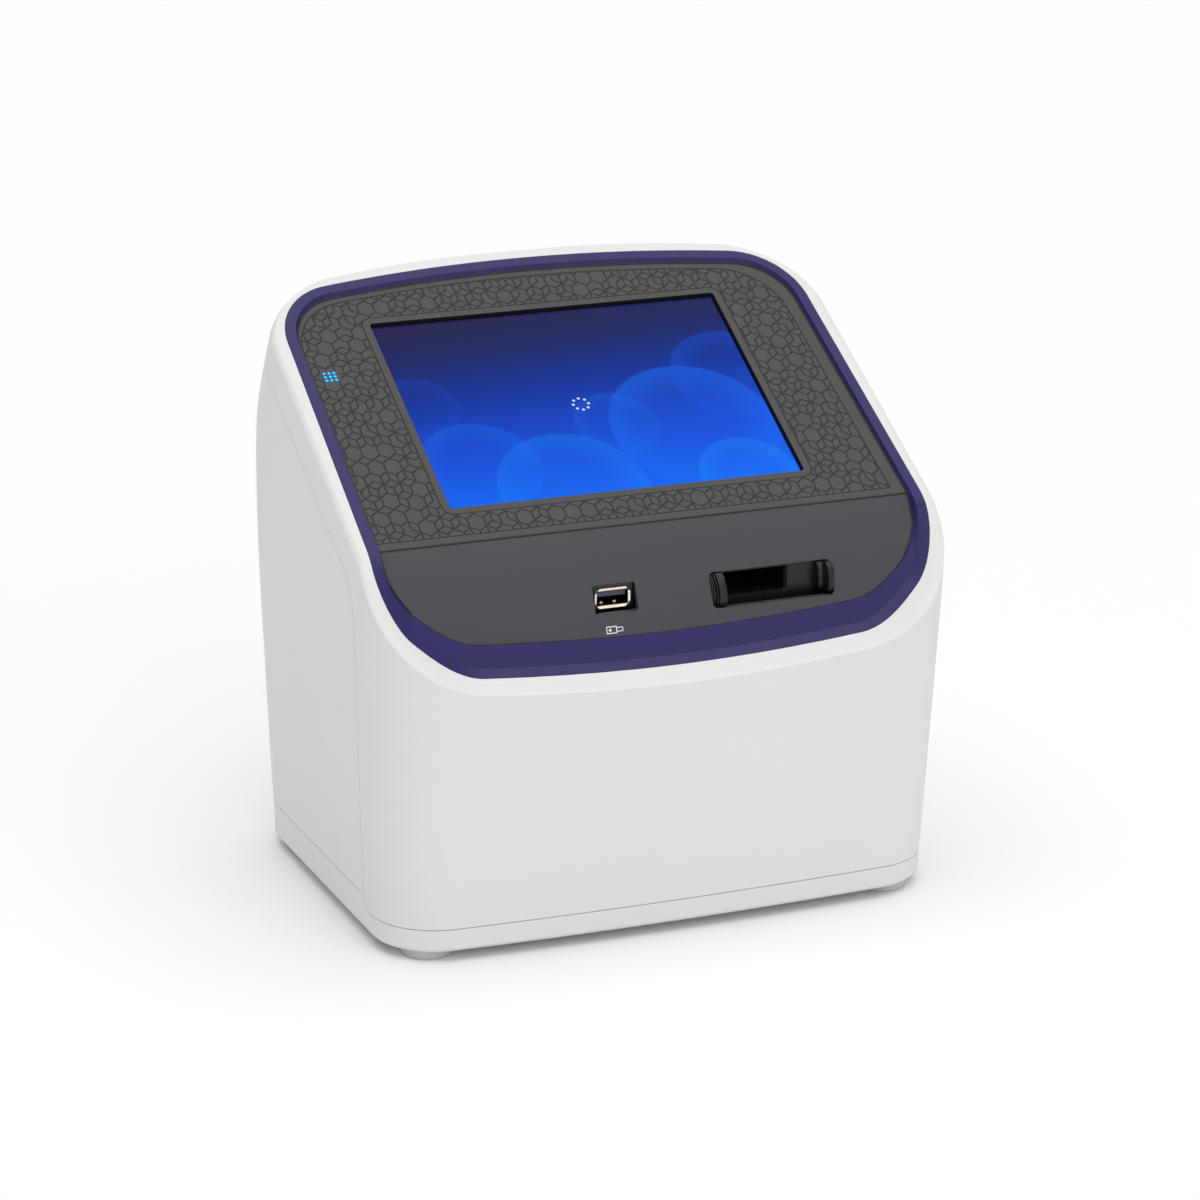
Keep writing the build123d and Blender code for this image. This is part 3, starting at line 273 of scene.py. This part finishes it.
led, t, b = base_material("status_cyan", srgb(10, 90, 150), 0.3, spec=0.2)
b.inputs["Emission Strength"].default_value = 1.0
M["status_cyan"] = led



def dress(obj, *materials):
    """Gives the object these materials and no other."""
    obj.data.materials.clear()
    for material in materials:
        obj.data.materials.append(material)


slot_of = {s["node"]: s["material_slot"] for s in frame["record"]["subparts"]}
for name, obj in nodes.items():
    mat = M.get(slot_of[name])
    if mat:
        dress(obj, mat)
    obj.data.shade_smooth()
    obj.data.set_sharp_from_angle(angle=math.radians(28))

# ---------------------------------------------------------------- display

SLOPE = math.radians(29.25)
SCREEN_X, SCREEN_Y, SLOPE_Z = -0.0013, 0.0044, 0.18286
screen = (
    Matrix.Translation((SCREEN_X, SCREEN_Y, SLOPE_Z + SCREEN_Y * math.tan(SLOPE)))
    @ Matrix.Rotation(SLOPE, 4, "X")
)


def on_screen_plane(tree):
    """Millimetres to the right of the screen's middle and up the slope from it."""
    m = tree.nodes.new("ShaderNodeMapping")
    inv = screen.inverted()
    m.inputs["Rotation"].default_value = inv.to_euler()
    m.inputs["Location"].default_value = inv.translation
    tree.links.new(coords(tree), m.inputs["Vector"])
    s = tree.nodes.new("ShaderNodeSeparateXYZ")
    tree.links.new(m.outputs["Vector"], s.inputs["Vector"])
    return [Calc(tree, s.outputs[i]) * 1000.0 for i in range(2)]


def rounded_box(x, y, half_x, half_y, radius):
    """Signed distance to a rounded rectangle."""
    qx = x.size() - half_x + radius
    qy = y.size() - half_y + radius
    return length(qx.high(0.0), qy.high(0.0)) + qx.high(qy).low(0.0) - radius


# Display picture: blue gradient, soft translucent discs, and a ring of eight dots
glass, t, b = base_material("screen_glass", (0.004, 0.004, 0.006), 0.1, spec=0.03)
x, s = on_screen_plane(t)
rise = (s + 50.8) / 101.6 + (x / 142.2) * -0.10
grad = ramp(t, rise.value, [
    (0.0, srgb(0, 100, 240)), (0.22, srgb(0, 78, 220)), (0.42, srgb(0, 62, 190)),
    (0.62, srgb(0, 46, 148)), (0.82, srgb(18, 32, 100)), (1.0, srgb(28, 28, 76)),
])
discs = [
    (38.0, -20.0, 34.0, 0.34, srgb(0, 108, 245)), (63.0, 6.0, 25.0, 0.26, srgb(0, 84, 230)),
    (-52.0, -30.0, 24.0, 0.26, srgb(0, 108, 250)), (-20.0, -46.0, 30.0, 0.22, srgb(10, 135, 255)),
    (8.0, -14.0, 17.0, 0.12, srgb(20, 120, 245)), (-66.0, 4.0, 17.0, 0.16, srgb(0, 76, 215)),
    (50.0, -48.0, 20.0, 0.25, srgb(20, 140, 255)),
]
picture = grad
for cx, cy, radius, strength, colour in discs:
    away = length(x - cx, s - cy)
    inside = 1.0 - fade(away, radius - 1.2, radius + 0.4)
    edge = fade(away, radius * 0.45, radius) * inside
    picture = mix(t, (edge * strength + inside * (strength * 0.18)), picture, colour)
DOTS_X, DOTS_S, DOTS_RADIUS = -2.5, -2.0, 3.1
dots = None
for k in range(8):
    a = math.radians(45 * k)
    dot_x = DOTS_X + DOTS_RADIUS * math.cos(a)
    dot_s = DOTS_S + DOTS_RADIUS * math.sin(a)
    dot = 1.0 - fade(length(x - dot_x, s - dot_s), 0.42, 0.72)
    dots = dot if dots is None else dots.high(dot)
picture = mix(t, dots, picture, srgb(215, 230, 255))
border = fade(rounded_box(x, s, 70.4, 50.1, 0.6), -0.25, 0.15)
picture = mix(t, border, picture, (0.0, 0.0, 0.0))
t.links.new(picture, b.inputs["Emission Color"])
b.inputs["Emission Strength"].default_value = 1.0
bump(t, b, noise(t, coords(t), 30.0), 0.01, 0.00001)
dress(nodes["touch_glass"], glass)

# Status light: each of the nine lenses glows at its middle
STATUS_X, STATUS_S, STATUS_PITCH, LENS_RADIUS = -94.7, 24.0, 1.9, 0.75
t = led.node_tree
x, s = on_screen_plane(t)
lens_x = (x - STATUS_X + STATUS_PITCH / 2).do("FLOORED_MODULO", STATUS_PITCH) - STATUS_PITCH / 2
lens_s = (s - STATUS_S + STATUS_PITCH / 2).do("FLOORED_MODULO", STATUS_PITCH) - STATUS_PITCH / 2
glow = ramp(t, (length(lens_x, lens_s) / LENS_RADIUS).value, [
    (0.0, srgb(60, 230, 255)), (0.6, srgb(0, 200, 255)), (0.85, srgb(0, 120, 225)), (1.0, srgb(0, 40, 110)),
])
t.links.new(glow, t.nodes["Principled BSDF"].inputs["Emission Color"])

# ---------------------------------------------------------------- frame with its line relief

W, ROW = 6.3, 6.573  # spacing of the stars along a row, and of the rows
SQUASH = (W * math.sqrt(3) / 2) / ROW
STAR_X, STAR_S = -82.45, 50.5  # one star's place on the screen plane
OUTER_BORDER, WINDOW_BORDER = 2.9, 3.1  # smooth borders round the field
CORNER = 22.5  # corner radius of the frame
CREASE_S = -67.6  # where the frame ends at the lower panel
STATUS_PAD = 4.1  # smooth radius round the status light


def frame_relief(name, colour):
    """Hexagons and rhombi between two smooth borders, all parted by narrow grooves."""
    m, t, b = base_material(name, colour, 0.46, spec=0.3)
    x, s = on_screen_plane(t)
    px = x - STAR_X
    py = (s - STAR_S) * SQUASH
    high = W * math.sqrt(3)
    best = None
    for ox, oy in ((0.0, 0.0), (W / 2, high / 2)):
        lx = (px - ox + W / 2).do("FLOORED_MODULO", W) - W / 2
        ly = (py - oy + high / 2).do("FLOORED_MODULO", high) - high / 2
        d = lx * lx + ly * ly
        if best is None:
            best = (lx, ly, d)
        else:
            nearer = d.below(best[2])
            best = (nearer.pick(lx, best[0]), nearer.pick(ly, best[1]))
    lx, ly = best
    angle = ly.do("ARCTAN2", lx)
    number = (angle / (math.pi / 3)).do("FLOOR")
    spoke = (number + 0.5) * (math.pi / 3)
    off = (length(lx, ly) * (angle - spoke).do("SINE")).size()
    reach = W / math.sqrt(3)
    end_x = ((px - lx + spoke.do("COSINE") * reach) * (2 / W)).do("ROUND")
    end_y = ((py - ly + spoke.do("SINE") * reach) * (2 * math.sqrt(3) / W)).do("ROUND")
    flip = (number + 6.0).do("FLOORED_MODULO", 2.0) * -2.0 + 1.0
    chance = random_at(t, end_x, end_y) + flip * 0.12
    joined = None
    for step_x, step_y in ((1.0, 1.0), (-1.0, 1.0), (0.0, -2.0)):
        beside = random_at(t, end_x + step_x, end_y + flip * step_y) - flip * 0.12
        joined = chance.above(beside) if joined is None else joined * chance.above(beside)
    draw = random_at(t, end_x + 0.5, end_y + 0.5)
    third = ((number + 6.0).do("FLOORED_MODULO", 6.0) / 2.0).do("FLOOR")
    which = ((draw - 0.4) / 0.2).do("FLOOR")
    dropped = draw.below(0.4).high((which - third).size().below(0.5))
    kept = 1.0 - joined * dropped
    line = (1.0 - fade(off, 0.13, 0.27)) * kept
    # areas between the borders
    half = 105.4 - (s * math.cos(SLOPE) + 60.0) * 0.0299
    dx = x + 1.3
    dx = dx.size() - half
    top = 68.1 - (x * x) * 0.00080
    dy = s * math.cos(SLOPE) + 4.4 - top
    qx, qy = dx + CORNER, dy + CORNER
    outer = length(qx.high(0.0), qy.high(0.0)) + qx.high(qy).low(0.0) - CORNER
    crease = CREASE_S - s
    outer = outer.high(crease)
    window = rounded_box(x, s, 71.1, 50.8, 1.5)
    pad = length(x - STATUS_X, s - STATUS_S)
    from_outer = outer + OUTER_BORDER
    from_window = window - WINDOW_BORDER
    inside = from_outer.below(0.0) * from_window.above(0.0) * pad.above(STATUS_PAD)
    grooves = line * inside
    rim_line = (1.0 - fade(from_outer.size(), 0.12, 0.30)).high(1.0 - fade(from_window.size(), 0.12, 0.30))
    grooves = grooves.high(rim_line * outer.below(-0.5))
    tile = Calc(t, noise(t, coords(t), 260.0, 1.0)) - 0.5
    tone = tile * 0.30 * inside + 1.0
    flat = noise(t, coords(t), 90.0, 4.0)
    shade = ramp(t, flat, [(0.3, tint(colour, 0.96)), (0.7, tint(colour, 1.05))])
    n = t.nodes.new("ShaderNodeCombineXYZ")
    for i in range(3):
        t.links.new(tone.value, n.inputs[i])
    shade = mix(t, 1.0, shade, n.outputs[0], "MULTIPLY")
    shade = mix(t, grooves * 0.9, shade, srgb(20, 18, 17))
    # Painted shade: near black within 1.6 mm of a wall
    shade = painted_crease_shade(t, shade, 0.0016)
    t.links.new(shade, b.inputs["Base Color"])
    fine = Calc(t, noise(t, coords(t), 2600.0, 2.0))
    relief = (1.0 - (fade(off, 0.06, 0.45) * kept + (1.0 - kept))) * inside
    relief = relief.high(rim_line * outer.below(-0.5))
    bump(t, b, ((1.0 - relief) + fine * 0.04).value, 0.9, 0.00022)
    return m


M["frame_grey"] = frame_relief("frame_relief", srgb(69, 67, 67))
# Painted shadow: near-black plastic on the frame's window recess walls and on the gap beads below, standing in for
# shade
painted_shadow_black = plastic("painted_shadow_black", srgb(18, 17, 18), 0.5, mottle=0.1)
frame_mesh = nodes["screen_frame"].data
dress(nodes["screen_frame"], M["frame_grey"], painted_shadow_black)
for face in frame_mesh.polygons:
    centre = screen.inverted() @ face.center
    if abs(centre.x) < 0.0716 and abs(centre.y) < 0.0513 and centre.z < -0.0001:
        face.material_index = 1

# ---------------------------------------------------------------- pieces in mesh code

def new_piece(name, mesh_data, material, replaces=(), bevel=0.0):
    """Object from vertices and faces in millimetres; it rides on the body."""
    verts, faces = mesh_data
    mesh = bpy.data.meshes.new(name)
    mesh.from_pydata([(x / 1000, y / 1000, z / 1000) for x, y, z in verts], [], faces)
    bm = bmesh.new()
    bm.from_mesh(mesh)
    bmesh.ops.remove_doubles(bm, verts=bm.verts, dist=1e-7)
    bmesh.ops.recalc_face_normals(bm, faces=bm.faces)
    if bevel:
        sharp = [e for e in bm.edges if len(e.link_faces) == 2 and e.calc_face_angle() > math.radians(40)]
        bmesh.ops.bevel(
            bm, geom=sharp, offset=bevel / 1000, segments=2, profile=0.6, affect="EDGES", clamp_overlap=True
        )
    bm.to_mesh(mesh)
    bm.free()
    obj = bpy.data.objects.new(name, mesh)
    bpy.context.scene.collection.objects.link(obj)
    mesh.materials.append(material)
    mesh.shade_smooth()
    mesh.set_sharp_from_angle(angle=math.radians(30))
    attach(obj, "body")
    if replaces:
        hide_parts(*replaces)
    return obj


def join(*parts):
    """One mesh from several."""
    verts, faces = [], []
    for v, f in parts:
        faces += [[i + len(verts) for i in face] for face in f]
        verts += v
    return verts, faces


def tube(loops, closed=False, caps=True):
    """Skin over loops with the same number of points."""
    n = len(loops[0])
    verts = [p for loop in loops for p in loop]
    rows = len(loops)
    faces = []
    for r in range(rows if closed else rows - 1):
        a, b = r * n, (r + 1) % rows * n
        faces += [[a + i, a + (i + 1) % n, b + (i + 1) % n, b + i] for i in range(n)]
    if caps and not closed:
        faces += [list(range(n))[::-1], [(rows - 1) * n + i for i in range(n)]]
    return verts, faces


def round_rect(cx, cz, half_x, half_z, radius, steps=4):
    """Points of a rounded rectangle in (x, z), from its lower right corner upwards."""
    points = []
    for ox, oz, start in ((1, -1, -90), (1, 1, 0), (-1, 1, 90), (-1, -1, 180)):
        for k in range(steps + 1):
            a = math.radians(start + 90 * k / steps)
            points.append((
                cx + ox * (half_x - radius) + radius * math.cos(a),
                cz + oz * (half_z - radius) + radius * math.sin(a),
            ))
    return points


def at_depth(points, y):
    return [(x, y, z) for x, z in points]


def slab(profile, x0, x1):
    """Solid between two x values from a closed outline in (y, z)."""
    return tube([[(x0, y, z) for y, z in profile], [(x1, y, z) for y, z in profile]])


# Slide port: a plate with a bevelled slot, a ribbed grip tab and a curved ear
INSERT_Y = -65.5
slot_mid, slot_z = 37.5, 127.4
plate = tube([
    at_depth(round_rect(43.0, 127.4, 24.3, 6.0, 0.8), INSERT_Y + 5.0),
    at_depth(round_rect(43.0, 127.4, 24.3, 6.0, 0.8), INSERT_Y),
    at_depth(round_rect(slot_mid, slot_z, 13.9, 5.0, 0.9), INSERT_Y),
    at_depth(round_rect(slot_mid, slot_z, 12.95, 4.25, 0.5), INSERT_Y + 1.2),
    at_depth(round_rect(slot_mid, slot_z, 12.95, 4.25, 0.5), INSERT_Y + 5.0),
], closed=True)
tab_curve = [
    (-72.4, 121.9), (-73.2, 123.4), (-73.5, 125.4), (-73.0, 127.6), (-71.8, 129.9), (-70.2, 131.9), (-68.2, 133.2)
]


def grip(x0, x1, back):
    """Slice of the grip tab, set back from its front."""
    outline = [(y + back, z - back * 0.12) for y, z in tab_curve] + [(INSERT_Y, 133.2), (INSERT_Y, 121.9)]
    return slab(outline, x0, x1)


grip_parts = [grip(20.9, 23.9, 0.0)]
grip_parts += [grip(20.1 - 0.95 * k, 20.62 - 0.95 * k, 0.55 + 0.5 * k) for k in range(2)]
grip_parts.append(grip(18.65, 21.2, 1.9))
ear_curve = [(-70.6, 121.8), (-72.2, 122.3), (-73.2, 124.0), (-73.3, 128.8), (-72.4, 131.2), (-70.4, 133.1)]
ear = slab(ear_curve + [(INSERT_Y, 133.1), (INSERT_Y, 121.8)], 64.9, 67.3)
ear_web = slab([(y + 3.4, z) for y, z in ear_curve] + [(INSERT_Y, 133.1), (INSERT_Y, 121.8)], 62.4, 65.2)
M["port_black"] = plastic("port_black", srgb(24, 24, 26), 0.3, spec=0.35, mottle=0.12)
new_piece("port_insert", plate, M["port_black"], ("slide_insert",))
new_piece("port_grip", join(*grip_parts), M["port_black"], ("slide_insert",), 0.22)
new_piece("port_ear", join(ear, ear_web), M["port_black"], ("slide_insert",), 0.5)
contact_outline = round_rect(25.3, 126.2, 0.35, 1.0, 0.15)
contact = tube([at_depth(contact_outline, -64.9), at_depth(contact_outline, -63.6)])
new_piece("port_contact", contact, M["spring_copper"])

# Front USB socket: four flared flanges round the opening
ux, uz, uy = -19.5, 128.3, -66.5
M["flange_metal"] = metal("flange_metal", srgb(240, 230, 212), 0.25)
# Painted shade: the socket shell is a darkened copy of the bright socket metal, standing in for the shade inside the
# opening
socket_painted_shade = metal("socket_painted_shade", srgb(70, 68, 66), 0.4)
tongue_blue = plastic("tongue_blue", srgb(70, 72, 90), 0.4, mottle=0.05)
dress(nodes["front_usb_shell"], socket_painted_shade)
dress(nodes["front_usb_tongue"], tongue_blue)


def flange(inner_a, inner_b, outer_a, outer_b):
    """Plate from the opening's edge to its flared outer edge."""
    front = [(*inner_a, 0.0), (*inner_b, 0.0), (*outer_b, -0.25), (*outer_a, -0.25)]
    return tube([[(ux + x, uy + face + d, uz + z) for x, z, d in front] for face in (-0.55, -0.15)])


flanges = []
for side in (-1, 1):
    flanges.append(flange((-5.9, side * 2.85), (5.9, side * 2.85), (-5.2, side * 3.8), (5.2, side * 3.8)))
    flanges.append(flange((side * 6.2, -2.3), (side * 6.2, 2.3), (side * 7.0, -1.8), (side * 7.0, 1.8)))
for sx in (-1, 1):
    for sz in (-1, 1):
        inner = (sx * 5.95, sz * 2.85), (sx * 6.15, sz * 2.45)
        outer = (sx * 5.4, sz * 3.7), (sx * 6.95, sz * 2.0)
        flanges.append(flange(*inner, *outer))
new_piece("usb_flanges", join(*flanges), M["flange_metal"])
gold = metal("contact_gold", srgb(226, 178, 96), 0.25)
pads = [
    tube([at_depth(round_rect(ux + dx, uz - 1.9, 0.55, 0.4, 0.15), uy + depth) for depth in (0.6, 3.0)])
    for dx in (-4.0, 1.2)
]
new_piece("usb_pads", join(*pads), gold)

# Painted shadow: a thin black bead in the gap round the two dark front parts, standing in for the shade in that gap


def rim_edges(obj):
    """Edges in metres where a dark part's face meets its outer wall."""
    bm = bmesh.new()
    bm.from_mesh(obj.data)
    bmesh.ops.remove_doubles(bm, verts=bm.verts, dist=2e-6)
    found = []
    for e in bm.edges:
        if len(e.link_faces) != 2 or e.calc_face_angle() < math.radians(35):
            continue
        top = max((f.normal for f in e.link_faces), key=lambda n: n.z - n.y)
        wall = min((f.normal for f in e.link_faces), key=lambda n: n.z - n.y)
        middle = (e.verts[0].co + e.verts[1].co) / 2
        on_screen = screen.inverted() @ middle
        in_recess = abs(middle.x) < 0.078 and 0.1185 < middle.z < 0.146
        in_window = abs(on_screen.x) < 0.075 and abs(on_screen.y) < 0.053
        near_light = (on_screen - Vector((STATUS_X / 1000, STATUS_S / 1000, 0))).length < 0.006
        if top.z - top.y > 0.75 and wall.z - wall.y < 0.9 and not (in_recess or in_window or near_light):
            found.append([v.co.copy() for v in e.verts])
    bm.free()
    return found


def painted_gap_shadow(name, edges, radius):
    """Thin round black bead along the edges: a painted shadow line."""
    parts = []
    for start, stop in edges:
        along = (stop - start).normalized()
        side = along.cross(Vector((0, -0.5, 0.87))).normalized()
        up = side.cross(along)
        loops = []
        for end, extra in ((start, -1), (stop, 1)):
            centre = end + along * (extra * radius * 0.3)
            angles = [k * math.pi / 3 for k in range(6)]
            ring = [centre + (side * math.cos(a) + up * math.sin(a)) * radius for a in angles]
            loops.append([tuple(c * 1000 for c in p) for p in ring])
        parts.append(tube(loops))
    return new_piece(name, join(*parts), painted_shadow_black)


# Each dark front part gets a painted shadow bead round its outline
for part in ("port_panel", "screen_frame"):
    painted_gap_shadow(part + "_seal", rim_edges(nodes[part]), 0.0004)

# Port pictogram on the lower panel: a plain outline of a plug
panel_mesh = nodes["port_panel"]
ink, t, b = base_material("pictogram_white", srgb(226, 228, 230), 0.5)
uneven = ramp(t, noise(t, coords(t), 900.0), [(0.3, srgb(214, 216, 220)), (0.7, srgb(236, 238, 240))])
t.links.new(uneven, b.inputs["Base Color"])


def printed(name, outlines):
    """Thin print on the lower panel from outlines in (x, z)."""
    parts = []
    depsgraph = bpy.context.evaluated_depsgraph_get()
    for outline in outlines:
        ring = []
        for x, z in outline:
            hit = panel_mesh.ray_cast(Vector((x / 1000, -0.2, z / 1000)), Vector((0, 1, 0)), depsgraph=depsgraph)
            ring.append((x, hit[1].y * 1000, z))
        parts.append(tube([[(x, y - 0.05, z) for x, y, z in ring], [(x, y + 0.1, z) for x, y, z in ring]]))
    return new_piece(name, join(*parts), ink)


def box_outline(x0, x1, z0, z1):
    return [(x0, z0), (x1, z0), (x1, z1), (x0, z1)]


ix, iz = -21.1, 118.2
printed("port_pictogram", [
    box_outline(ix - 3.6, ix + 0.6, iz + 0.95, iz + 1.3), box_outline(ix - 3.6, ix + 0.6, iz - 1.3, iz - 0.95),
    box_outline(ix - 3.6, ix - 3.25, iz - 0.95, iz + 0.95), box_outline(ix + 0.25, ix + 0.6, iz - 0.95, iz + 0.95),
    box_outline(ix + 0.6, ix + 3.0, iz + 0.5, iz + 0.8), box_outline(ix + 0.6, ix + 3.0, iz - 0.8, iz - 0.5),
    box_outline(ix + 2.7, ix + 3.0, iz - 0.5, iz + 0.5),
    [(ix - 2.1 + 0.55 * math.cos(math.radians(30 * k)), iz + 0.55 * math.sin(math.radians(30 * k))) for k in range(12)],
])

# ---------------------------------------------------------------- camera, floor, light

cam_data = bpy.data.cameras.new("camera")
cam = bpy.data.objects.new("camera", cam_data)
bpy.context.scene.collection.objects.link(cam)
YAW, ELEV = math.radians(21.93), math.radians(17.244)
cam.location = (-0.57711, -1.4399, 0.58454)
forward = Vector((math.sin(YAW) * math.cos(ELEV), math.cos(YAW) * math.cos(ELEV), -math.sin(ELEV)))
cam.rotation_euler = forward.to_track_quat("-Z", "Y").to_euler()
cam_data.lens = 4233.25 / 1200 * 36
cam_data.sensor_width = 36
cam_data.shift_y = 7 / 1200
cam_data.clip_end = 50
bpy.context.scene.camera = cam

bpy.ops.mesh.primitive_plane_add(size=12, location=(0, 0, -0.0002))
floor = bpy.context.object
floor.name = "floor"
fm, t, b = base_material("floor_white", (0.955, 0.955, 0.955), 0.75, spec=0.1)
bump(t, b, noise(t, coords(t), 30.0), 0.02, 0.0001)
floor.data.materials.append(fm)

world = bpy.data.worlds.new("world")
bpy.context.scene.world = world
world.use_nodes = True
world.node_tree.nodes["Background"].inputs["Color"].default_value = (1, 1, 1, 1)
world.node_tree.nodes["Background"].inputs["Strength"].default_value = 0.45
bpy.context.scene.view_settings.view_transform = "Standard"




def softbox(name, towards, power, spread):
    """Large far light that comes from the given direction."""
    data = bpy.data.lights.new(name, "SUN")
    data.energy = power
    data.angle = math.radians(spread)
    lamp = bpy.data.objects.new(name, data)
    bpy.context.scene.collection.objects.link(lamp)
    lamp.rotation_euler = Vector(towards).to_track_quat("Z", "Y").to_euler()


softbox("ceiling", (0.0, -0.05, 1.0), 1.66, 75)
softbox("front_fill", (0.12, -1.0, 0.45), 0.56, 60)
